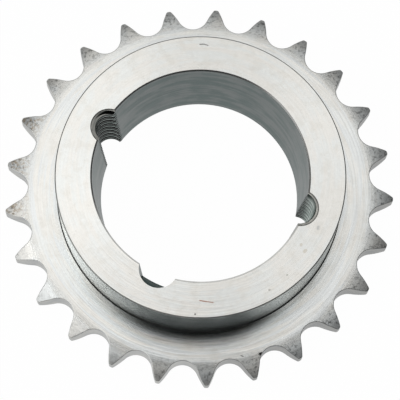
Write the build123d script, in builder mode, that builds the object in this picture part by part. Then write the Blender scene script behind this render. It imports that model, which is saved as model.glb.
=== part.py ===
from build123d import *
from math import acos, atan2, cos, degrees, radians, sin, sqrt, tan
import os

# A plate-and-hub sprocket for a tapered clamping bush, turned and gashed from one
# piece of steel. The bore axis is Z and the flat back face lies on Z = 0.

# Roller chain, 1/2 in pitch, one strand
chain_pitch = 12.7
roller_ratio = 0.67          # roller diameter / chain pitch
tooth_count = 25
first_gap_angle = 5.7        # from +X to the middle of a tooth gap, degrees

# Tooth form, roller seats and flanks as in ISO 606
seat_ratio = 0.505           # seat radius / roller diameter
flank_ratio = 0.12           # flank radius / (roller diameter * (teeth + extra teeth))
flank_extra_teeth = 2
rack_seat_angle = 128.0      # seat angle of a rack, inside the standard's range, degrees
seat_angle_loss = 90.0       # divided by the teeth, comes off the seat angle
tip_height_ratio = 0.235     # tip circle over pitch circle, on the radius / roller diameter
tip_corner_radius = 0.6
tip_corner_share = 0.6       # most of the tip's width that one corner may take
gap_overshoot_ratio = 0.25   # gap drawn out past the tip circle / roller diameter

# Toothed plate
plate_width = 7.2
side_relief_depth = 1.6      # taken off each side at the tooth tips
side_relief_radius = 13.0

# Hub
hub_diameter = 76.6
hub_length = 25.4            # back face to hub face
hub_edge_break = 0.3
shoulder_bevel = 0.3         # 45 degree inside corner between hub and plate

# Taper bore, large end at the hub face
bore_diameter = 57.15
bore_half_angle = 4.0
bore_mouth_chamfer = 0.4
bore_back_chamfer = 0.4

# Half-holes on the edge of the bore, for the bush's screws (3/8 in, 16 threads per inch)
screw_core_diameter = 7.5
screw_thread_diameter = 9.525
countersink_angle = 90.0
screw_circle_inset = 1.1     # hole centres inside the large end of the bore, on the radius
removal_clearance = 0.7      # plain half-hole over the screw, on the diameter
removal_floor = 3.0          # steel left under the plain half-hole
removal_angle = -113.5       # from +X, degrees
clamping_spread = 94.9       # each threaded half-hole from the plain one, degrees

# Tooth form
roller_diameter = roller_ratio * chain_pitch
pitch_radius = chain_pitch / 2 / sin(radians(180 / tooth_count))
root_radius = pitch_radius - roller_diameter / 2
tip_radius = pitch_radius + tip_height_ratio * roller_diameter
seat_radius = seat_ratio * roller_diameter
seat_angle = rack_seat_angle - seat_angle_loss / tooth_count
flank_radius = flank_ratio * roller_diameter * (tooth_count + flank_extra_teeth)
gap_reach = tip_radius + gap_overshoot_ratio * roller_diameter

# The seat's centre is on the gap's middle line. Each flank arc's centre lies beyond
# the end of the seat, in line with the seat's centre, so that seat and flank are tangent.
seat_centre = root_radius + seat_radius
half_seat = radians(seat_angle / 2)
flank_centre = Vector(
    seat_centre - (seat_radius + flank_radius) * cos(half_seat),
    (seat_radius + flank_radius) * sin(half_seat))


def gap_half_angle(radius):
    """Angle in degrees from the gap's middle line to its flank at a radius from the bore axis."""
    reach = flank_centre.length
    turn = acos((reach**2 + radius**2 - flank_radius**2) / (2 * reach * radius))
    return degrees(atan2(flank_centre.Y, flank_centre.X) - turn)


# A tooth keeps half a pitch less the gap on each side of its middle
tip_land = 2 * tip_radius * radians(180 / tooth_count - gap_half_angle(tip_radius))
tip_rounding = min(tip_corner_radius, tip_corner_share * tip_land)

with BuildSketch() as tooth_gap:
    with BuildLine():
        seat = CenterArc((seat_centre, 0), seat_radius, 180 - seat_angle / 2, seat_angle)
        mouth_corner = Vector(gap_reach, 0).rotate(Axis.Z, gap_half_angle(gap_reach))
        flank = TangentArc(seat @ 0, mouth_corner, tangent=-(seat % 0))
        other_flank = mirror(flank, about=Plane.XZ)
        Line(flank @ 1, other_flank @ 1)
    make_face()

with BuildSketch() as tooth_outline:
    Circle(tip_radius)
    with PolarLocations(0, tooth_count, start_angle=first_gap_angle):
        add(tooth_gap.sketch, mode=Mode.SUBTRACT)
    tip_corners = tooth_outline.vertices().group_by(SortBy.DISTANCE)[-1]
    fillet(tip_corners, tip_rounding)


# Turned blank: plate, hub and taper bore as one half section
hub_radius = hub_diameter / 2
bore_radius = bore_diameter / 2
relief_height = sqrt(side_relief_depth * (2 * side_relief_radius - side_relief_depth))
relief_start = tip_radius - relief_height


def taper_radius(height):
    """Radius of the taper bore at a height above the back face."""
    return bore_radius - (hub_length - height) * tan(radians(bore_half_angle))


with BuildSketch(Plane.XZ) as half_section:
    with BuildLine():
        back_face = Line((taper_radius(0) + bore_back_chamfer, 0), (relief_start, 0))
        back_relief = TangentArc(back_face @ 1, (tip_radius, side_relief_depth), tangent=(1, 0))
        rim = Line(back_relief @ 1, (tip_radius, plate_width - side_relief_depth))
        front_relief = TangentArc((relief_start, plate_width), rim @ 1, tangent=(1, 0))
        plate_face = Line(front_relief @ 0, (hub_radius + shoulder_bevel, plate_width))
        shoulder = Line(plate_face @ 1, (hub_radius, plate_width + shoulder_bevel))
        hub_side = Line(shoulder @ 1, (hub_radius, hub_length - hub_edge_break))
        hub_edge = Line(hub_side @ 1, (hub_radius - hub_edge_break, hub_length))
        hub_face = Line(hub_edge @ 1, (bore_radius + bore_mouth_chamfer, hub_length))
        mouth_height = hub_length - bore_mouth_chamfer
        mouth = Line(hub_face @ 1, (taper_radius(mouth_height), mouth_height))
        taper = Line(mouth @ 1, (taper_radius(bore_back_chamfer), bore_back_chamfer))
        Line(taper @ 1, back_face @ 0)
    make_face()


# Sprocket
screw_circle_radius = bore_radius - screw_circle_inset
removal_radius = (screw_thread_diameter + removal_clearance) / 2

with BuildPart() as sprocket:
    revolve(half_section.sketch, axis=Axis.Z)

    # Teeth: the blank keeps only what lies inside the tooth outline
    extrude(tooth_outline.sketch, amount=hub_length, mode=Mode.INTERSECT)

    # Half-holes, drilled from the hub face beside the bore
    with Locations((0, 0, hub_length)):
        with PolarLocations(screw_circle_radius, 1, start_angle=removal_angle):
            Hole(removal_radius, depth=hub_length - removal_floor)
        with PolarLocations(screw_circle_radius, 2, start_angle=removal_angle - clamping_spread,
                            angular_range=2 * clamping_spread, endpoint=True):
            CounterSinkHole(screw_core_diameter / 2, screw_thread_diameter / 2,
                            counter_sink_angle=countersink_angle)

sprocket.part.label = "sprocket"

os.makedirs("parts", exist_ok=True)
export_step(sprocket.part, "parts/sprocket.step")
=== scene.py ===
from math import acos, atan2, cos, hypot, pi, radians, sin, sqrt, tan

import bpy
from mathutils import Matrix, Vector


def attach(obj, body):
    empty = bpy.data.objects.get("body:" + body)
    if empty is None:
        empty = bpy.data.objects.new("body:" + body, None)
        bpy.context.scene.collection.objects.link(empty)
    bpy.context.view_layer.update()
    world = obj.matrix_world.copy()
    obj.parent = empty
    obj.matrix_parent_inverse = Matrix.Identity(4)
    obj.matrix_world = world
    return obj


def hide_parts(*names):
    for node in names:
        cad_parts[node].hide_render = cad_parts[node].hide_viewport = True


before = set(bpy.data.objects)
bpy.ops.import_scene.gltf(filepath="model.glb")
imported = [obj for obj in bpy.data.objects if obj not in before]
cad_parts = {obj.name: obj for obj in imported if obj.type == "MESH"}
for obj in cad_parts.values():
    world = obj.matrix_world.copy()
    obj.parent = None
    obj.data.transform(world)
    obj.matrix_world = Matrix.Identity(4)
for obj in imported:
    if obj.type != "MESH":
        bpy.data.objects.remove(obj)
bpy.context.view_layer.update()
mm = 0.001


def addObject(name, points, faces, material=None):
    mesh = bpy.data.meshes.new(name)
    mesh.from_pydata(points, [], faces)
    mesh.update()
    if material:
        mesh.materials.append(material)
    obj = bpy.data.objects.new(name, mesh)
    bpy.context.scene.collection.objects.link(obj)
    return obj


def applied(obj):
    # swaps the object's mesh for its finished one, with every modifier baked in
    bpy.context.view_layer.update()
    seen = obj.evaluated_get(bpy.context.evaluated_depsgraph_get())
    finished = bpy.data.meshes.new_from_object(seen)
    obj.modifiers.clear()
    old = obj.data
    obj.data = finished
    bpy.data.meshes.remove(old)
    finished.name = obj.name


# Camera: nearly straight down the bore, leaned back so the hub's lower side shows. Turns in radians,
# distances in millimetres, near and far in metres.
camera = {"focalPixels": 2117.8, "leanX": -0.247, "leanY": 0.018,
          "shiftX": -0.276, "shiftY": 0.381, "distance": 580.2,
          "sensor": 36.0, "imageWidth": 400, "near": 0.01, "far": 50.0}

lean = Matrix.Rotation(camera["leanX"], 3, "X") @ Matrix.Rotation(camera["leanY"], 3, "Y")
turn = lean.transposed()
eye = turn @ Vector((-camera["shiftX"], -camera["shiftY"], camera["distance"])) * mm
lensData = bpy.data.cameras.new("camera")
lensData.sensor_width = camera["sensor"]
lensData.lens = camera["focalPixels"] * camera["sensor"] / camera["imageWidth"]
lensData.clip_start, lensData.clip_end = camera["near"], camera["far"]
viewer = bpy.data.objects.new("camera", lensData)
viewer.matrix_world = Matrix.Translation(eye) @ turn.to_4x4()
bpy.context.scene.collection.objects.link(viewer)
bpy.context.scene.camera = viewer
print("camera placed")


# Toothed ring and hub, sizes in millimetres and degrees. Rings are extra rows of points, at shares of
# the way across a face. The middle of a rounded edge lies edgeMiddle of its size from either side.
sprocket = {
    "teeth": 25, "firstGap": 5.7,
    "chainPitch": 12.7, "rollerRatio": 0.67,
    "seatRatio": 0.505, "flankRatio": 0.12, "flankExtra": 2,
    "seatAngle": 124.4, "tipHeightRatio": 0.235, "tipCorner": 0.6,
    "plateWidth": 7.2, "reliefDepth": 1.6, "reliefRadius": 13.0, "toothEdge": 0.18,
    "hubRadius": 38.3, "hubLength": 25.4, "hubEdge": 0.3, "shoulder": 0.3,
    "boreRadius": 28.575, "boreAngle": 4.0, "boreMouth": 0.4, "mouthDrop": 0.27, "boreBack": 0.4,
    "seatSteps": 9, "flankSteps": 6, "cornerSteps": 6, "landSteps": 1, "reliefSteps": 8,
    "frontRings": (0.33, 0.66), "backRings": (0.35, 0.70), "plateMargin": 1.5,
    "edgeMiddle": 0.29, "joinDistance": 0.002, "sharpFrom": 15.0,
}

# Half-holes beside the bore, sizes in millimetres and degrees
holes = {
    "circle": 27.475, "removalAngle": -113.5, "spread": 94.9,
    "core": 3.75, "thread": 4.7625, "threadPitch": 1.5875,
    "crest": 0.25, "root": 0.125, "around": 64,
    "removal": 5.1125, "removalFloor": 3.0, "past": 2.0,
    "sinkSpare": 0.18, "sinkOverlap": 0.2, "steps": 96,
}


def holeCentre(angle):
    return holes["circle"] * cos(radians(angle)), holes["circle"] * sin(radians(angle))


# Nodes for the materials: sizes in them are millimetres, worked out from Object coordinates
def addNode(tree, kind, inputs=None, **settings):
    made = tree.nodes.new(kind)
    for name, value in settings.items():
        setattr(made, name, value)
    for name, value in (inputs or {}).items():
        if isinstance(value, bpy.types.NodeSocket):
            tree.links.new(value, made.inputs[name])
        else:
            made.inputs[name].default_value = value
    return made


def maths(tree, operation, *terms):
    return addNode(tree, "ShaderNodeMath", dict(enumerate(terms)), operation=operation).outputs[0]


def between(tree, value, low, high, start=0.0, end=1.0):
    # eases from start to end while value goes from low to high
    return addNode(tree, "ShaderNodeMapRange",
                   {"Value": value, "From Min": low, "From Max": high, "To Min": start, "To Max": end},
                   interpolation_type="SMOOTHSTEP").outputs[0]


def noise(tree, vector, scale, detail=2.0, rough=0.5):
    return addNode(tree, "ShaderNodeTexNoise",
                   {"Vector": vector, "Scale": scale, "Detail": detail, "Roughness": rough}).outputs[0]


def blend(tree, amount, first, second):
    made = addNode(tree, "ShaderNodeMix", {0: amount}, data_type="RGBA")
    for slot, value in ((6, first), (7, second)):
        if isinstance(value, bpy.types.NodeSocket):
            tree.links.new(value, made.inputs[slot])
        else:
            made.inputs[slot].default_value = (*value, 1)
    return made.outputs[2]


def shade(tree, colour, factor):
    # multiplies a colour by a number
    made = addNode(tree, "ShaderNodeVectorMath", operation="SCALE")
    if isinstance(colour, bpy.types.NodeSocket):
        tree.links.new(colour, made.inputs[0])
    else:
        made.inputs[0].default_value = colour
    tree.links.new(factor, made.inputs["Scale"])
    return made.outputs[0]


def vary(tree, layer, amount, base):
    # swings a base value by an amount while the layer goes from 0 to 1
    return maths(tree, "MULTIPLY_ADD", maths(tree, "SUBTRACT", layer, 0.5), amount, base)


def facing(tree, layers, direction):
    # 1 on the side of the bore axis that the direction points to, -1 on the other
    return addNode(tree, "ShaderNodeVectorMath", {0: layers["around"], 1: direction},
                   operation="DOT_PRODUCT").outputs["Value"]


def alter(tree, layers, name, factor):
    layers[name] = maths(tree, "MULTIPLY", layers[name], factor)


# What every finish shares: long streaks and round patches carry the second colour. Streaks are
# measured in patch sizes, and sheenTurn in whole turns.
steel = {"streakShare": 0.6, "patchShare": 0.4, "streakWidth": 0.3, "streakLength": 3.0,
         "tintRamp": (0.42, 0.58), "sheenTurn": 0.25}


def machinedSteel(name, look, extra=None):
    # bare steel with tool lines that run round Z, soft patches and a fine grain
    material = bpy.data.materials.new(name)
    material.use_nodes = True
    tree = material.node_tree
    shader = tree.nodes["Principled BSDF"]
    place = addNode(tree, "ShaderNodeTexCoord").outputs["Object"]
    spot = addNode(tree, "ShaderNodeMapping", {"Vector": place, "Scale": [1 / mm] * 3}).outputs[0]
    flat = addNode(tree, "ShaderNodeVectorMath", {0: spot, 1: (1, 1, 0)}, operation="MULTIPLY").outputs[0]
    radius = addNode(tree, "ShaderNodeVectorMath", {0: flat}, operation="LENGTH").outputs["Value"]
    around = addNode(tree, "ShaderNodeVectorMath", {0: flat}, operation="NORMALIZE").outputs[0]
    height = addNode(tree, "ShaderNodeSeparateXYZ", {0: spot}).outputs["Z"]
    travel = maths(tree, "ADD", radius, height)     # grows across a face and along a wall alike

    def toolLines(width, length, detail):
        side = addNode(tree, "ShaderNodeSeparateXYZ", {0: around})
        vector = addNode(tree, "ShaderNodeCombineXYZ", {
            0: maths(tree, "MULTIPLY", side.outputs[0], look["radius"] / length),
            1: maths(tree, "MULTIPLY", side.outputs[1], look["radius"] / length),
            2: maths(tree, "DIVIDE", travel, width)}).outputs[0]
        return noise(tree, vector, 1.0, detail, rough=0.6)

    fine = toolLines(look["lineWidth"], look["lineLength"], detail=2.0)
    broad = toolLines(look["bandWidth"], look["bandLength"], detail=1.0)
    streak = toolLines(look["patchSize"] * steel["streakWidth"], look["patchSize"] * steel["streakLength"],
                       detail=2.0)
    patches = noise(tree, spot, 1 / look["patchSize"], detail=2.0)
    grain = noise(tree, spot, 1 / look["grainSize"], detail=3.0, rough=0.65)

    mixed = maths(tree, "MULTIPLY_ADD", streak, steel["streakShare"],
                  maths(tree, "MULTIPLY", patches, steel["patchShare"]))
    colour = blend(tree, between(tree, mixed, *steel["tintRamp"]), look["colour"], look["tint"])
    change = vary(tree, fine, look["lineShade"], 1.0)
    change = vary(tree, broad, look["bandShade"], change)
    change = vary(tree, grain, look["grainShade"], change)
    rough = vary(tree, broad, look["roughSpread"], look["roughness"])
    relief = maths(tree, "MULTIPLY", fine, look["lineDepth"])
    relief = maths(tree, "MULTIPLY_ADD", broad, look["bandDepth"], relief)
    relief = maths(tree, "MULTIPLY_ADD", grain, look["grainDepth"], relief)
    layers = {"spot": spot, "flat": flat, "radius": radius, "height": height, "around": around,
              "fine": fine, "broad": broad, "colour": colour, "change": change,
              "rough": rough, "relief": relief, "metal": None}
    if extra:
        extra(tree, layers)

    tree.links.new(shade(tree, layers["colour"], layers["change"]), shader.inputs["Base Color"])
    tree.links.new(layers["rough"], shader.inputs["Roughness"])
    if layers["metal"] is None:
        shader.inputs["Metallic"].default_value = look["metal"]
    else:
        tree.links.new(layers["metal"], shader.inputs["Metallic"])
    bump = addNode(tree, "ShaderNodeBump", {"Height": layers["relief"], "Distance": mm})
    tree.links.new(bump.outputs[0], shader.inputs["Normal"])
    # tool lines spread a reflection across themselves, so the sheen is turned a quarter from their run
    run = addNode(tree, "ShaderNodeVectorMath", {0: (0, 0, 1), 1: around}, operation="CROSS_PRODUCT")
    tree.links.new(run.outputs[0], shader.inputs["Tangent"])
    shader.inputs["Anisotropic"].default_value = look["stretch"]
    shader.inputs["Anisotropic Rotation"].default_value = steel["sheenTurn"]
    return material


# Hub, plate and the relieved sides of the teeth. A ramp is where a change starts and where it is
# complete, a reach is a ramp on the radius, and a side is a direction from the bore axis.
turnedLook = {
    "radius": 38.0, "colour": (0.845, 0.855, 0.835), "tint": (0.865, 0.848, 0.808), "patchSize": 6.0,
    "roughness": 0.18, "roughSpread": 0.06, "stretch": 0.75,
    "lineWidth": 0.42, "lineLength": 12.0, "lineShade": 0.12, "lineDepth": 0.022,
    "bandWidth": 1.3, "bandLength": 18.0, "bandShade": 0.07, "bandDepth": 0.024,
    "grainSize": 0.9, "grainShade": 0.10, "grainDepth": 0.002,
    "frontRamp": (3.0, 4.0), "plateRamp": (7.7, 8.2), "hubDepth": 0.55,
    "plateLines": 0.34, "plateBands": 0.20,
    "wornSide": (-0.7, 0.7, 0), "wornRamp": (-0.7, 0.6), "wornShare": 0.25,
    "smearSize": 3.2, "smearRamp": (0.46, 0.66), "smearMost": 0.42, "smearColour": (0.77, 0.745, 0.69),
    "coolRamp": (0.48, 0.60), "coolColour": (0.805, 0.82, 0.815),
    "wallMetal": 0.9, "wallDepth": 0.5, "wallColour": (0.76, 0.83, 0.82), "wallFade": 0.2,
    # painted shade: the wall's foot on the lower side, its flanks, and the plate along the foot
    "footHeight": 8.0, "footRamp": (-0.74, -0.50), "footShade": 0.38,
    "flankRamp": (0.34, 0.64), "flankShade": 0.74,
    "cornerReach": (38.8, 41.6), "cornerRamp": (-0.94, -0.78), "cornerShade": 0.40,
    # painted light on the bright side of the faces, painted shade on the other side
    "brightSide": (-0.77, -0.64, 0), "brightRamp": (0.5, 0.95), "brightShade": 1.10,
    "dullSide": (0.8, 0.6, 0), "dullRamp": (-0.1, 0.7), "dullShade": 0.91,
    "toothReach": (44.6, 50.4), "toothRoughness": 0.17, "toothMetal": 0.38,
    "toothColour": (0.68, 0.695, 0.69), "toothTint": (0.71, 0.70, 0.67), "toothTintSize": 9.0,
    "rustSide": (-0.98, 0.18, 0), "rustRamp": (0.88, 0.97), "rustColour": (0.36, 0.28, 0.19),
    "rustSize": 0.9, "bloomRamp": (0.46, 0.62), "rustMost": 0.85,
    # painted shade on the tooth tips, lighter on the lit side
    "tipReach": (48.0, 52.3), "tipShade": 0.48,
    "tipLitSide": (-0.94, -0.34, 0), "tipLitRamp": (0.76, 0.93), "litTip": 0.80,
    "stippleSize": 0.8, "stippleDepth": 0.03, "speckRamp": (0.37, 0.50), "speckShade": 0.40,
    "pepperSize": 0.32, "pepperShade": 0.9, "fewSpecksRamp": (0.80, 0.95), "fewSpecks": 0.35,
}

# Small marks on the front: from and to as (x, y) in millimetres, how wide, their colour
marks = {
    "redScratch": ((-0.2, -33.6), (1.4, -33.85), 0.20, (0.42, 0.22, 0.16)),
    "redScratchEnd": ((1.4, -33.85), (3.2, -34.1), 0.16, (0.45, 0.26, 0.20)),
    "curvedScratch": ((-0.2, 36.0), (0.9, 36.05), 0.20, (0.24, 0.24, 0.24)),
    "curvedScratchEnd": ((0.9, 36.05), (1.95, 35.7), 0.18, (0.28, 0.28, 0.28)),
    "pit": ((-1.47, -37.2), (-1.42, -37.2), 0.26, (0.10, 0.10, 0.10)),
    "pitRight": ((17.7, -30.75), (17.9, -30.7), 0.30, (0.50, 0.49, 0.46)),
    "pitFarRight": ((22.4, -26.8), (22.5, -26.7), 0.34, (0.58, 0.58, 0.53)),
    "smudge": ((27.0, -20.5), (27.3, -20.2), 0.60, (0.72, 0.69, 0.62)),
    "smudgeUpper": ((26.1, -18.8), (26.2, -18.6), 0.50, (0.72, 0.69, 0.63)),
    "greySmudge": ((30.6, -14.4), (30.7, -13.9), 0.50, (0.62, 0.62, 0.60)),
    "greySmudgeUpper": ((30.7, -9.5), (30.7, -9.2), 0.40, (0.64, 0.64, 0.62)),
    "toothRootSpot": ((16.2, -44.3), (16.45, -44.25), 0.62, (0.02, 0.02, 0.02)),
    "plateLine": ((11.0, -44.75), (11.6, -45.0), 0.18, (0.20, 0.20, 0.20)),
    "speck": ((-11.3, -37.95), (-11.3, -38.1), 0.22, (0.98, 0.98, 0.98)),
    "speckLow": ((-9.7, -40.1), (-9.7, -40.2), 0.22, (0.98, 0.98, 0.98)),
    "speckLeft": ((-11.8, -42.0), (-11.7, -42.1), 0.26, (0.98, 0.98, 0.98)),
    "speckLine": ((1.7, -41.6), (1.75, -42.4), 0.16, (0.95, 0.95, 0.95)),
}


def nearLine(tree, place, start, end, width, solid=0.4):
    # 1 near the line from start to end, fading from a solid share of the width to 0 at the width
    run = Vector((*end, 0)) - Vector((*start, 0))
    offset = addNode(tree, "ShaderNodeVectorMath", {0: place, 1: (*start, 0)},
                     operation="SUBTRACT").outputs[0]
    along = addNode(tree, "ShaderNodeVectorMath", {0: offset, 1: run / run.length_squared},
                    operation="DOT_PRODUCT").outputs["Value"]
    foot = shade(tree, run, addNode(tree, "ShaderNodeClamp", {"Value": along}).outputs[0])
    gap = addNode(tree, "ShaderNodeVectorMath", {0: offset, 1: foot}, operation="DISTANCE").outputs["Value"]
    return between(tree, gap, width * solid, width, 1.0, 0.0)


def linePlate(tree, layers, plate):
    # the plate's tool lines are coarser than the hub's, but worn on one side
    look = turnedLook
    lined = between(tree, facing(tree, layers, look["wornSide"]), *look["wornRamp"], 1.0, look["wornShare"])
    lined = maths(tree, "MULTIPLY", plate, lined)
    for layer, amount in (("fine", "plateLines"), ("broad", "plateBands")):
        swing = vary(tree, layers[layer], look[amount], 0.0)
        layers["change"] = maths(tree, "MULTIPLY_ADD", swing, lined, layers["change"])
    alter(tree, layers, "relief", maths(tree, "MULTIPLY_ADD", plate, 1 - look["hubDepth"], look["hubDepth"]))
    smear = noise(tree, layers["spot"], 1 / look["smearSize"], detail=3.0, rough=0.6)
    smear = between(tree, smear, *look["smearRamp"], 0.0, look["smearMost"])
    layers["colour"] = blend(tree, smear, layers["colour"], look["smearColour"])
    cool = maths(tree, "MULTIPLY", plate, between(tree, layers["broad"], *look["coolRamp"]))
    layers["colour"] = blend(tree, cool, layers["colour"], look["coolColour"])


def shadeWall(tree, layers, plateFront):
    # the hub's wall is smoother than its face; painted shade darkens it on its flanks, and at its foot on
    # the lower side
    look, height = turnedLook, layers["height"]
    low = sprocket["plateWidth"] + sprocket["shoulder"]
    high = sprocket["hubLength"] - sprocket["hubEdge"]
    wall = maths(tree, "MULTIPLY", between(tree, height, low - look["wallFade"], low),
                 between(tree, height, high, high + look["wallFade"], 1.0, 0.0))
    up = facing(tree, layers, (0, 1, 0))
    across = maths(tree, "ABSOLUTE", facing(tree, layers, (1, 0, 0)))
    dull = between(tree, height, low, low + look["footHeight"], look["footShade"] - 1, 0.0)
    dull = maths(tree, "MULTIPLY_ADD", dull, between(tree, up, *look["footRamp"], 1.0, 0.0), 1.0)
    dull = maths(tree, "MULTIPLY", dull, between(tree, across, *look["flankRamp"], 1.0, look["flankShade"]))
    alter(tree, layers, "relief", maths(tree, "MULTIPLY_ADD", wall, look["wallDepth"] - 1, 1.0))
    layers["colour"] = blend(tree, wall, layers["colour"], shade(tree, look["wallColour"], dull))
    layers["metal"] = maths(tree, "MULTIPLY_ADD", wall, look["wallMetal"] - 1, 1.0)
    # painted shade: the plate is darkened along the wall's foot on its lowest side
    paintedCornerShade = between(tree, layers["radius"], *look["cornerReach"], look["cornerShade"] - 1, 0.0)
    paintedCornerShade = maths(tree, "MULTIPLY", paintedCornerShade, between(tree, up, *look["cornerRamp"], 1.0, 0.0))
    layers["change"] = maths(tree, "MULTIPLY_ADD", paintedCornerShade, plateFront, layers["change"])
    return wall


def paintLightBySide(tree, layers, wall):
    # painted light and shade: away from the wall, faces are brighter on the bright side and darker on the
    # shadowed side
    look = turnedLook
    for side in ("bright", "dull"):
        share = facing(tree, layers, look[side + "Side"])
        share = between(tree, share, *look[side + "Ramp"], 1.0, look[side + "Shade"])
        share = maths(tree, "MULTIPLY_ADD", maths(tree, "SUBTRACT", share, 1.0),
                      maths(tree, "SUBTRACT", 1.0, wall), 1.0)
        alter(tree, layers, "change", share)


def stippleTeeth(tree, layers):
    # the relieved sides of the teeth are rougher and greyer than the plate, and stippled
    look, spot = turnedLook, layers["spot"]
    on = between(tree, layers["radius"], *look["toothReach"])
    stain = noise(tree, spot, 1 / look["toothTintSize"], detail=1.0)
    tooth = blend(tree, between(tree, stain, *steel["tintRamp"]), look["toothColour"], look["toothTint"])
    rust = noise(tree, spot, 1 / look["rustSize"], detail=3.0, rough=0.7)
    rust = between(tree, rust, *look["bloomRamp"], 0.0, look["rustMost"])
    rust = maths(tree, "MULTIPLY", rust,
                 between(tree, facing(tree, layers, look["rustSide"]), *look["rustRamp"]))
    tooth = blend(tree, rust, tooth, look["rustColour"])
    layers["colour"] = blend(tree, on, layers["colour"], tooth)

    stipple = noise(tree, spot, 1 / look["stippleSize"], detail=4.0, rough=0.7)
    pepper = noise(tree, spot, 1 / look["pepperSize"], detail=2.0, rough=0.6)
    specks = between(tree, stipple, *look["speckRamp"], look["speckShade"] - 1, 0.0)
    specks = vary(tree, pepper, look["pepperShade"], specks)
    # painted light: fewer dark specks on the bright side
    share = facing(tree, layers, look["brightSide"])
    specks = maths(tree, "MULTIPLY", specks,
                   between(tree, share, *look["fewSpecksRamp"], 1.0, look["fewSpecks"]))
    layers["change"] = maths(tree, "MULTIPLY_ADD", specks, on, layers["change"])

    # painted shade: the tips are darkened, less so on the lit side
    darkest = facing(tree, layers, look["tipLitSide"])
    darkest = between(tree, darkest, *look["tipLitRamp"], look["tipShade"], look["litTip"])
    tip = between(tree, layers["radius"], *look["tipReach"], 1.0, 0.0)
    tip = maths(tree, "MULTIPLY_ADD", tip, maths(tree, "SUBTRACT", 1.0, darkest), darkest)
    alter(tree, layers, "change", tip)
    layers["rough"] = maths(tree, "MULTIPLY_ADD", on, look["toothRoughness"], layers["rough"])
    layers["metal"] = maths(tree, "MULTIPLY_ADD", on, look["toothMetal"] - 1, layers["metal"])
    depth = maths(tree, "MULTIPLY", stipple, look["stippleDepth"])
    layers["relief"] = maths(tree, "MULTIPLY_ADD", depth, on, layers["relief"])


def turnedFaces(tree, layers):
    plate = between(tree, layers["height"], *turnedLook["plateRamp"], 1.0, 0.0)
    front = between(tree, layers["height"], *turnedLook["frontRamp"])
    linePlate(tree, layers, plate)
    wall = shadeWall(tree, layers, maths(tree, "MULTIPLY", plate, front))
    paintLightBySide(tree, layers, wall)
    stippleTeeth(tree, layers)
    for start, end, width, colour in marks.values():
        mask = maths(tree, "MULTIPLY", nearLine(tree, layers["flat"], start, end, width), front)
        layers["colour"] = blend(tree, mask, layers["colour"], colour)


# The bore's teal tone is its own, but most of its darkness is painted shade; the removal half-hole is lined
# with it too.
shadedBoreLook = {
    "radius": 28.0, "colour": (0.072, 0.102, 0.098), "tint": (0.125, 0.143, 0.140), "patchSize": 5.0,
    "roughness": 0.36, "roughSpread": 0.14, "stretch": 0.5, "metal": 1.0,
    "lineWidth": 0.5, "lineLength": 7.0, "lineShade": 0.45, "lineDepth": 0.016,
    "bandWidth": 2.2, "bandLength": 12.0, "bandShade": 0.35, "bandDepth": 0.020,
    "grainSize": 0.8, "grainShade": 0.30, "grainDepth": 0.008,
}

gapLook = {
    "radius": 48.0, "colour": (0.38, 0.39, 0.39), "tint": (0.46, 0.46, 0.44), "patchSize": 3.0,
    "roughness": 0.42, "roughSpread": 0.10, "stretch": 0.0, "metal": 1.0,
    "lineWidth": 0.5, "lineLength": 1.5, "lineShade": 0.15, "lineDepth": 0.012,
    "bandWidth": 1.6, "bandLength": 3.0, "bandShade": 0.10, "bandDepth": 0.012,
    "grainSize": 0.35, "grainShade": 0.30, "grainDepth": 0.008,
    # painted shade on the +X side of the gaps
    "paintedRamp": (-0.2, 0.3), "paintedShade": 0.62,
}


def gapShadeBySide(tree, layers):
    # painted shade: the gaps are darker on the +X side of the sprocket
    side = facing(tree, layers, (1, 0, 0))
    alter(tree, layers, "change", between(tree, side, *gapLook["paintedRamp"], 1.0, gapLook["paintedShade"]))


# The small edges are near-black: painted shade for the dark lines along them.
edgeLook = {
    "radius": 38.0, "colour": (0.13, 0.135, 0.13), "tint": (0.20, 0.20, 0.19), "patchSize": 3.0,
    "roughness": 0.45, "roughSpread": 0.10, "stretch": 0.0, "metal": 1.0,
    "lineWidth": 0.2, "lineLength": 4.0, "lineShade": 0.20, "lineDepth": 0.004,
    "bandWidth": 0.8, "bandLength": 5.0, "bandShade": 0.20, "bandDepth": 0.004,
    "grainSize": 0.3, "grainShade": 0.30, "grainDepth": 0.004,
    "shoulderShadeRamp": (1.0, 2.0), "shoulderShadeLevel": 0.25,
}


def paintShoulderShade(tree, layers):
    # painted shade: edge steel in the corner between hub and plate is darkened, fading out above it
    low = sprocket["plateWidth"] + sprocket["shoulder"]
    start, end = edgeLook["shoulderShadeRamp"]
    paintedCornerShade = between(tree, layers["height"], low + start, low + end, edgeLook["shoulderShadeLevel"], 1.0)
    alter(tree, layers, "change", paintedCornerShade)


mouthLook = {
    "radius": 38.0, "colour": (0.84, 0.84, 0.82), "tint": (0.72, 0.72, 0.70), "patchSize": 3.0,
    "roughness": 0.24, "roughSpread": 0.10, "stretch": 0.0, "metal": 1.0,
    "lineWidth": 0.2, "lineLength": 4.0, "lineShade": 0.20, "lineDepth": 0.004,
    "bandWidth": 0.8, "bandLength": 5.0, "bandShade": 0.20, "bandDepth": 0.004,
    "grainSize": 0.3, "grainShade": 0.20, "grainDepth": 0.004,
    # painted light and shade on the mouth by side
    "mouthShadeRamp": (-0.62, -0.15), "mouthShadeLevel": 0.20,
}


def mouthShadeBySide(tree, layers):
    # painted light and shade: the mouth keeps its full brightness on the -Y side and is darkened towards +Y
    side = facing(tree, layers, (0, 1, 0))
    alter(tree, layers, "change", between(tree, side, *mouthLook["mouthShadeRamp"], 1.0, mouthLook["mouthShadeLevel"]))


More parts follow.
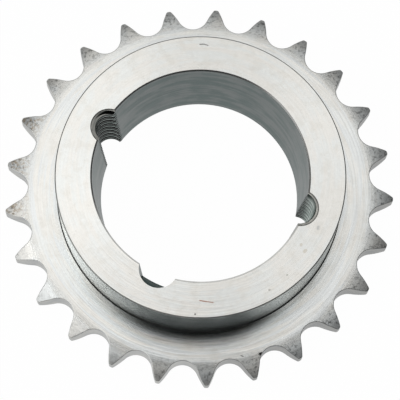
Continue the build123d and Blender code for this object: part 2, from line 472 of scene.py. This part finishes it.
threadLook = {
    "radius": 38.0, "colour": (0.155, 0.175, 0.165), "tint": (0.105, 0.13, 0.12), "patchSize": 3.0,
    "roughness": 0.34, "roughSpread": 0.10, "stretch": 0.0,
    "lineWidth": 0.4, "lineLength": 3.0, "lineShade": 0.2, "lineDepth": 0.004,
    "bandWidth": 1.2, "bandLength": 5.0, "bandShade": 0.2, "bandDepth": 0.004,
    "grainSize": 0.3, "grainShade": 0.30, "grainDepth": 0.006,
    # painted shade in the valleys and on the left of the left half-hole, and painted light and dark rings
    "valleyRamp": (3.80, 4.35), "valleyShade": 0.06, "topRamp": (22.8, 24.0), "topValley": 0.42,
    "shadowRamp": (-3.0, 1.4), "shadowShade": 0.30,
    "ringEvery": 3.175, "ringWander": 1.2, "paintedRamp": (-0.3, 0.9), "paintedShade": 0.10, "paintedLight": 2.5,
    "rightRamp": (-0.3, 0.3), "rightRings": 0.25,
    "brightRamp": (24.55, 24.85), "brightColour": (0.56, 0.55, 0.51), "brightMetal": 0.25,
}


def threadValleys(tree, layers):
    # painted shade: the valleys of the threads are darkened, less so near the top
    look, height = threadLook, layers["height"]
    centres = [holeCentre(holes["removalAngle"] + side * holes["spread"]) for side in (-1, 1)]
    nearest = maths(tree, "MINIMUM", *[
        addNode(tree, "ShaderNodeVectorMath", {0: layers["flat"], 1: (x, y, 0)},
                operation="DISTANCE").outputs["Value"] for x, y in centres])
    depth = between(tree, nearest, *look["valleyRamp"], 1.0, look["valleyShade"])
    depth = maths(tree, "MAXIMUM", depth, between(tree, height, *look["topRamp"], 0.0, look["topValley"]))
    alter(tree, layers, "change", depth)
    # painted shadow on the left of the left half-hole, and painted light and dark rings on every second
    # turn, weaker in the right half-hole
    left = centres[0][0]
    sideways = addNode(tree, "ShaderNodeSeparateXYZ", {0: layers["flat"]}).outputs["X"]
    shadow = between(tree, sideways, left + look["shadowRamp"][0], left + look["shadowRamp"][1],
                     look["shadowShade"], 1.0)
    alter(tree, layers, "change", shadow)
    phase = maths(tree, "MULTIPLY_ADD", height, 2 * pi / look["ringEvery"],
                  maths(tree, "MULTIPLY", layers["broad"], look["ringWander"]))
    paintedRings = between(tree, maths(tree, "SINE", phase), *look["paintedRamp"], look["paintedShade"], look["paintedLight"])
    share = between(tree, facing(tree, layers, (1, 0, 0)), *look["rightRamp"], 1.0, look["rightRings"])
    alter(tree, layers, "change",
          maths(tree, "MULTIPLY_ADD", maths(tree, "SUBTRACT", paintedRings, 1.0), share, 1.0))
    # the first turn, inside the countersink, is as bright as the countersink
    bright = between(tree, height, *look["brightRamp"])
    layers["colour"] = blend(tree, bright, layers["colour"], look["brightColour"])
    layers["change"] = maths(tree, "MULTIPLY_ADD", maths(tree, "SUBTRACT", 1.0, bright),
                             layers["change"], bright)
    layers["metal"] = maths(tree, "MULTIPLY_ADD", bright, look["brightMetal"] - 1, 1.0)


sinkLook = {
    "radius": 38.0, "colour": (0.66, 0.65, 0.60), "tint": (0.44, 0.44, 0.41), "patchSize": 2.0,
    "roughness": 0.40, "roughSpread": 0.10, "stretch": 0.0, "metal": 0.25,
    "lineWidth": 0.3, "lineLength": 3.0, "lineShade": 0.2, "lineDepth": 0.004,
    "bandWidth": 0.9, "bandLength": 5.0, "bandShade": 0.2, "bandDepth": 0.004,
    "grainSize": 0.3, "grainShade": 0.20, "grainDepth": 0.004,
    "rimRamp": (-0.33, -0.23), "rimShade": 0.30,
}


def sinkRim(tree, layers):
    # a dark burr line where the countersink meets the hub face
    top = sprocket["hubLength"]
    start, end = sinkLook["rimRamp"]
    rim = between(tree, layers["height"], top + start, top + end, 1.0, sinkLook["rimShade"])
    alter(tree, layers, "change", rim)


turnedSteel = machinedSteel("turned steel", turnedLook, turnedFaces)
shadedBoreSteel = machinedSteel("shaded bore steel", shadedBoreLook)
gapSteel = machinedSteel("gashed steel", gapLook, gapShadeBySide)
edgeSteel = machinedSteel("edge steel", edgeLook, paintShoulderShade)
mouthSteel = machinedSteel("mouth steel", mouthLook, mouthShadeBySide)
threadSteel = machinedSteel("thread steel", threadLook, threadValleys)
sinkSteel = machinedSteel("countersunk steel", sinkLook, sinkRim)
print("materials made")


def toothOutline(s):
    # half a gap and half a tooth, as (x, y, outward x, outward y), gap middle on +X
    roller = s["rollerRatio"] * s["chainPitch"]
    pitchRadius = s["chainPitch"] / 2 / sin(pi / s["teeth"])
    tip = pitchRadius + s["tipHeightRatio"] * roller
    seat = s["seatRatio"] * roller
    flank = s["flankRatio"] * roller * (s["teeth"] + s["flankExtra"])
    seatX = pitchRadius - roller / 2 + seat
    half = radians(s["seatAngle"] / 2)
    flankAt = Vector((seatX - (seat + flank) * cos(half), (seat + flank) * sin(half)))
    # the tip corner's circle touches the tip circle and the flank from inside
    corner = s["tipCorner"]
    far, near = tip - corner, flank - corner
    reach = flankAt.length
    cornerAngle = atan2(flankAt.y, flankAt.x)
    cornerAngle -= acos((far ** 2 + reach ** 2 - near ** 2) / (2 * far * reach))
    cornerAt = Vector((cos(cornerAngle), sin(cornerAngle))) * far
    touch = cornerAt - flankAt
    touchAngle = atan2(touch.y, touch.x)
    rows = []
    for i in range(s["seatSteps"]):
        a = pi - half * i / s["seatSteps"]
        rows.append((seatX + seat * cos(a), seat * sin(a), -cos(a), -sin(a)))
    for i in range(s["flankSteps"]):
        a = -half + (touchAngle + half) * i / s["flankSteps"]
        rows.append((flankAt.x + flank * cos(a), flankAt.y + flank * sin(a), cos(a), sin(a)))
    for i in range(s["cornerSteps"]):
        a = touchAngle + (cornerAngle - touchAngle) * i / s["cornerSteps"]
        rows.append((cornerAt.x + corner * cos(a), cornerAt.y + corner * sin(a), cos(a), sin(a)))
    for i in range(s["landSteps"] + 1):
        a = cornerAngle + (pi / s["teeth"] - cornerAngle) * i / s["landSteps"]
        rows.append((tip * cos(a), tip * sin(a), cos(a), sin(a)))
    return rows, tip


def turnedProfile(s, finish):
    # hub and bore as (radius, height, finish up to the next point), from plate face to back face
    hub, edge, shoulder, length = s["hubRadius"], s["hubEdge"], s["shoulder"], s["hubLength"]
    mouth, back, width = s["boreMouth"], s["boreBack"], s["plateWidth"]

    def taper(height):
        return s["boreRadius"] - (length - height) * tan(radians(s["boreAngle"]))

    rows = [(hub + shoulder, width, finish["edge"]),
            (hub, width + shoulder, finish["turned"])]
    for f in s["frontRings"]:
        rows.append((hub, width + shoulder + (length - edge - width - shoulder) * f, finish["turned"]))
    rows.append((hub, length - edge, finish["edge"]))
    middle = edge * s["edgeMiddle"]
    rows.append((hub - middle, length - middle, finish["edge"]))
    inner, outer = s["boreRadius"] + mouth, hub - edge
    for f in (0, *s["frontRings"]):
        rows.append((outer + (inner - outer) * f, length, finish["turned"]))
    rows.append((inner, length, finish["mouth"]))
    for f in (0, *s["frontRings"]):
        z = length - s["mouthDrop"] + (back - length + s["mouthDrop"]) * f
        rows.append((taper(z), z, finish["bored"]))
    rows.append((taper(back), back, finish["edge"]))
    rows.append((taper(0) + back, 0, finish["turned"]))
    return rows


def toothSector(s, finish):
    # one tooth with its slice of plate, hub and bore, from gap middle to gap middle
    rows, tip = toothOutline(s)
    pitchAngle = 2 * pi / s["teeth"]
    c, d = cos(pitchAngle), sin(pitchAngle)
    outline = list(rows)
    for x, y, nx, ny in reversed(rows[:-1]):
        outline.append((x * c + y * d, x * d - y * c, nx * c + ny * d, nx * d - ny * c))
    reliefStart = tip - sqrt(s["reliefDepth"] * (2 * s["reliefRadius"] - s["reliefDepth"]))
    edge, width, steps = s["toothEdge"], s["plateWidth"], s["reliefSteps"]
    turned = turnedProfile(s, finish)
    backStart = turned[-1][0]
    plateStop = reliefStart - s["plateMargin"]
    plateEnd = turned[0][0]

    def relief(radius):
        over = max(radius - reliefStart, 0)
        return s["reliefRadius"] - sqrt(s["reliefRadius"] ** 2 - over ** 2)

    points, faces, kinds = [], [], []
    for x, y, nx, ny in outline:
        angle = atan2(y, x)
        c, d = cos(angle), sin(angle)
        inX, inY = x - nx * edge, y - ny * edge
        low, high = relief(hypot(x, y)) + edge, width - relief(hypot(x, y)) - edge
        lowIn, highIn = relief(hypot(inX, inY)), width - relief(hypot(inX, inY))
        startX, startY = c * plateStop, d * plateStop
        column = [(c * r, d * r, z, kind) for r, z, kind in turned]
        for f in s["backRings"]:
            r = backStart + (plateStop - backStart) * f
            column.append((c * r, d * r, 0, finish["turned"]))
        for i in range(steps + 1):
            px, py = startX + (inX - startX) * i / steps, startY + (inY - startY) * i / steps
            kind = finish["gap"] if i == steps else finish["turned"]
            column.append((px, py, relief(hypot(px, py)), kind))
        middle = s["edgeMiddle"]
        midX, midY = x - nx * edge * middle, y - ny * edge * middle
        column.append((midX, midY, lowIn + (low - lowIn) * middle, finish["gap"]))
        column.append((x, y, low, finish["gap"]))
        column.append((x, y, high, finish["gap"]))
        column.append((midX, midY, highIn + (high - highIn) * middle, finish["gap"]))
        for i in range(steps, -1, -1):
            px, py = startX + (inX - startX) * i / steps, startY + (inY - startY) * i / steps
            column.append((px, py, width - relief(hypot(px, py)), finish["turned"]))
        for f in s["frontRings"]:
            r = plateStop + (plateEnd - plateStop) * f
            column.append((c * r, d * r, width, finish["turned"]))
        points.extend(Vector(p[:3]) * mm for p in column)
        rowKinds = [p[3] for p in column]
        count = len(column)
    for i in range(len(outline) - 1):
        for j in range(count):
            k = (j + 1) % count
            faces.append((i * count + j, (i + 1) * count + j, (i + 1) * count + k, i * count + k))
            kinds.append(rowKinds[j])
    sector = addObject("sprocketBody", points, faces)
    sector.data.attributes.new("finish", "INT", "FACE").data.foreach_set("value", kinds)
    return sector


def ringTree(name, paints):
    # repeats the base mesh round Z, joins the copies into one closed ring and paints it by finish
    tree = bpy.data.node_groups.new(name, "GeometryNodeTree")
    face = tree.interface
    face.new_socket("Geometry", in_out="INPUT", socket_type="NodeSocketGeometry")
    face.new_socket("Teeth", in_out="INPUT", socket_type="NodeSocketInt")
    face.new_socket("First Gap", in_out="INPUT", socket_type="NodeSocketFloat")
    face.new_socket("Join Distance", in_out="INPUT", socket_type="NodeSocketFloat")
    for paint in paints:
        face.new_socket(paint, in_out="INPUT", socket_type="NodeSocketMaterial")
    face.new_socket("Geometry", in_out="OUTPUT", socket_type="NodeSocketGeometry")
    given, result = addNode(tree, "NodeGroupInput"), addNode(tree, "NodeGroupOutput")
    points = addNode(tree, "GeometryNodePoints", {"Count": given.outputs["Teeth"]})
    index = addNode(tree, "GeometryNodeInputIndex")
    share = maths(tree, "DIVIDE", 2 * pi, given.outputs["Teeth"])
    angle = maths(tree, "MULTIPLY_ADD", index.outputs[0], share, given.outputs["First Gap"])
    spin = addNode(tree, "ShaderNodeCombineXYZ", {"Z": angle})
    copies = addNode(tree, "GeometryNodeInstanceOnPoints", {
        "Points": points.outputs[0], "Instance": given.outputs["Geometry"], "Rotation": spin.outputs[0]})
    real = addNode(tree, "GeometryNodeRealizeInstances", {0: copies.outputs[0]})
    merge = addNode(tree, "GeometryNodeMergeByDistance", {
        "Geometry": real.outputs[0], "Distance": given.outputs["Join Distance"]})
    kind = addNode(tree, "GeometryNodeInputNamedAttribute", {"Name": "finish"}, data_type="INT")
    shape = merge.outputs[0]
    for number, paint in enumerate(paints):
        chosen = addNode(tree, "FunctionNodeCompare", {2: kind.outputs[0], 3: number},
                         data_type="INT", operation="EQUAL")
        shape = addNode(tree, "GeometryNodeSetMaterial", {
            "Geometry": shape, "Selection": chosen.outputs[0],
            "Material": given.outputs[paint]}).outputs[0]
    tree.links.new(shape, result.inputs[0])
    return tree


def useTree(obj, tree, values):
    worker = obj.modifiers.new(tree.name, "NODES")
    worker.node_group = tree
    sockets = {i.name: i.identifier for i in tree.interface.items_tree if i.in_out == "INPUT"}
    for name, value in values.items():
        worker[sockets[name]] = value


paints = {"Turned Steel": turnedSteel, "Edge Steel": edgeSteel, "Shaded Bore Steel": shadedBoreSteel,
          "Gap Steel": gapSteel, "Mouth Steel": mouthSteel}
body = toothSector(sprocket, {"turned": 0, "edge": 1, "bored": 2, "gap": 3, "mouth": 4})
useTree(body, ringTree("toothRing", list(paints)), {
    "Teeth": sprocket["teeth"], "First Gap": radians(sprocket["firstGap"]),
    "Join Distance": sprocket["joinDistance"] * mm, **paints})
applied(body)
print("toothed ring:", len(body.data.polygons), "faces")


def threadedCutter(name, h, at):
    # a bar with a helical vee ridge, taller than the hub by a little at both ends
    core, thread, step = h["core"], h["thread"], h["threadPitch"]
    slope = (1 - h["crest"] - h["root"]) / 2
    rows = [(0.0, core), (h["crest"], core), (h["crest"] + slope, thread),
            (h["crest"] + slope + h["root"], thread)]
    around, n = h["around"], len(rows)
    turns = int((sprocket["hubLength"] + 2 * h["past"]) / step) + 2
    low = -h["past"] - step
    total = n * turns
    points, faces = [], []
    for j in range(total + 1):
        f, r = rows[j % n]
        z = low + (j // n + f) * step
        for i in range(around):
            a = 2 * pi * i / around
            points.append(Vector((at[0] + r * cos(a), at[1] + r * sin(a), z + step * i / around)) * mm)
    for j in range(total):
        for i in range(around - 1):
            p = j * around + i
            faces.append((p, p + 1, p + 1 + around, p + around))
    # the seam joins each row's end to the row one turn up
    for j in range(total - n):
        p, q = j * around + around - 1, (j + n) * around
        faces.append((p, q, q + around, p + around))
    bottom, top = len(points), len(points) + 1
    points.append(Vector((at[0], at[1], low - step)) * mm)
    points.append(Vector((at[0], at[1], low + (turns + 2) * step)) * mm)
    rim = list(range(around)) + [j * around for j in range(n, 0, -1)]
    for a, b in zip(rim, rim[1:] + rim[:1]):
        faces.append((bottom, b, a))
    last = total * around
    rim = [last + i for i in range(around)]
    rim += [j * around + around - 1 for j in range(total - 1, total - n - 1, -1)]
    for a, b in zip(rim, rim[1:] + rim[:1]):
        faces.append((top, a, b))
    return addObject(name, points, faces, threadSteel)


def lathedCutter(name, profile, at, around, material):
    points, faces = [], []
    for r, z in profile:
        for i in range(around):
            a = 2 * pi * i / around
            points.append(Vector((at[0] + r * cos(a), at[1] + r * sin(a), z)) * mm)
    for j in range(len(profile) - 1):
        for i in range(around):
            p, q = j * around + i, j * around + (i + 1) % around
            faces.append((p, q, q + around, p + around))
    faces.append(tuple(reversed(range(around))))
    faces.append(tuple(range((len(profile) - 1) * around, len(profile) * around)))
    return addObject(name, points, faces, material)


def cut(obj, tool):
    saw = obj.modifiers.new("cut", "BOOLEAN")
    saw.operation = "DIFFERENCE"
    saw.solver = "MANIFOLD"
    saw.material_mode = "TRANSFER"
    saw.object = tool
    applied(obj)
    bpy.data.objects.remove(tool)


length = sprocket["hubLength"]
deep, spare = holes["thread"] - holes["core"], holes["sinkOverlap"]
for number, side in ((1, -1), (2, 1)):
    at = holeCentre(holes["removalAngle"] + side * holes["spread"])
    cut(body, threadedCutter(f"clampingThread{number}", holes, at))
    sink = [(holes["core"] - spare, length - deep - spare - holes["sinkSpare"]),
            (holes["thread"] + holes["past"], length + holes["past"] - holes["sinkSpare"])]
    cut(body, lathedCutter(f"countersink{number}", sink, at, holes["steps"], sinkSteel))
plain = [(holes["removal"], holes["removalFloor"]), (holes["removal"], length + holes["past"])]
at = holeCentre(holes["removalAngle"])
cut(body, lathedCutter("removalHole", plain, at, holes["steps"], shadedBoreSteel))
body.data.shade_smooth()
body.data.set_sharp_from_angle(angle=radians(sprocket["sharpFrom"]))
body.data.attributes.remove(body.data.attributes["finish"])


def dropUnusedSlots(mesh):
    numbers = [p.material_index for p in mesh.polygons]
    used = sorted(set(numbers))
    kept = [mesh.materials[i] for i in used]
    mesh.materials.clear()
    for material in kept:
        mesh.materials.append(material)
    mesh.polygons.foreach_set("material_index", [used.index(i) for i in numbers])


dropUnusedSlots(body.data)
print("half-holes cut:", len(body.data.polygons), "faces", [m.name for m in body.data.materials])

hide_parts("sprocket")
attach(body, "root")

# Floor, in white paper, sizes in metres
paper = {"reach": 8.0, "drop": 0.0002, "colour": (0.9, 0.9, 0.9), "whiteness": 0.985}

corners = [(x * paper["reach"], y * paper["reach"], -paper["drop"])
           for x, y in ((-1, -1), (1, -1), (1, 1), (-1, 1))]
floor = addObject("floor", corners, [(0, 1, 2, 3)])
floorPaper = bpy.data.materials.new("floor paper")
floorPaper.use_nodes = True
tree = floorPaper.node_tree
tree.nodes.clear()
path = addNode(tree, "ShaderNodeLightPath")
seen = maths(tree, "MAXIMUM", path.outputs["Is Camera Ray"], path.outputs["Is Glossy Ray"])
seen = maths(tree, "MAXIMUM", seen, path.outputs["Is Transmission Ray"])
diffuse = addNode(tree, "ShaderNodeBsdfDiffuse", {"Color": (*paper["colour"], 1)})
white = addNode(tree, "ShaderNodeEmission", {"Strength": 1.0})
mixed = addNode(tree, "ShaderNodeMixShader", {
    0: maths(tree, "MULTIPLY", seen, paper["whiteness"]), 1: diffuse.outputs[0], 2: white.outputs[0]})
addNode(tree, "ShaderNodeOutputMaterial", {"Surface": mixed.outputs[0]})
floor.data.materials.append(floorPaper)

# Studio: a wide soft panel over the far side, a large one low on the left, a small one low on the
# right, and a room that is paler towards the far side and dark round the lens. Sizes in metres.
panels = {
    "key": {"direction": (-0.16, 0.215, 0.965), "width": 1.45, "depth": 0.62,
            "distance": 1.6, "radiance": 0.66},
    "left": {"direction": (-0.60, -0.20, 0.78), "width": 1.1, "depth": 1.1,
             "distance": 1.6, "radiance": 2.2},
    "right": {"direction": (0.34, -0.17, 0.93), "width": 0.42, "depth": 0.42,
              "distance": 1.6, "radiance": 0.9},
}


def addPanel(name, p):
    data = bpy.data.lights.new(name, "AREA")
    data.shape = "RECTANGLE"
    data.size, data.size_y = p["width"], p["depth"]
    data.energy = p["radiance"] * pi * p["width"] * p["depth"]
    lamp = bpy.data.objects.new(name, data)
    direction = Vector(p["direction"]).normalized()
    across = Vector((0, 1, 0)).cross(direction).normalized()
    along = direction.cross(across)
    aim = Matrix((across, along, direction)).transposed().to_4x4()
    lamp.matrix_world = Matrix.Translation(direction * p["distance"]) @ aim
    bpy.context.scene.collection.objects.link(lamp)


for name, values in panels.items():
    addPanel(name, values)

room = {"front": (0.28, 0.29, 0.295), "behind": (0.66, 0.66, 0.65), "towards": (-0.6, 0.8, 0.0),
        "greyUntil": -0.8, "paleFrom": 0.85,
        "lens": (-0.08, -0.25, 0.97), "lensEdge": 35.0, "lensCore": 18.0, "lensLevel": 0.01}
world = bpy.data.worlds.new("room")
world.use_nodes = True
bpy.context.scene.world = world
tree = world.node_tree
sight = addNode(tree, "ShaderNodeTexCoord").outputs["Generated"]


def towards(direction):
    return addNode(tree, "ShaderNodeVectorMath", {0: sight, 1: direction},
                   operation="DOT_PRODUCT").outputs["Value"]


sky = blend(tree, between(tree, towards(room["towards"]), room["greyUntil"], room["paleFrom"]),
            room["front"], room["behind"])
# dark round the lens, fading out from its core to its edge
edge, core = cos(radians(room["lensEdge"])), cos(radians(room["lensCore"]))
level = between(tree, towards(room["lens"]), edge, core, 1.0, room["lensLevel"])
tree.links.new(shade(tree, sky, level), tree.nodes["Background"].inputs["Color"])
print("studio lit")

bpy.context.scene.view_settings.view_transform = "Standard"
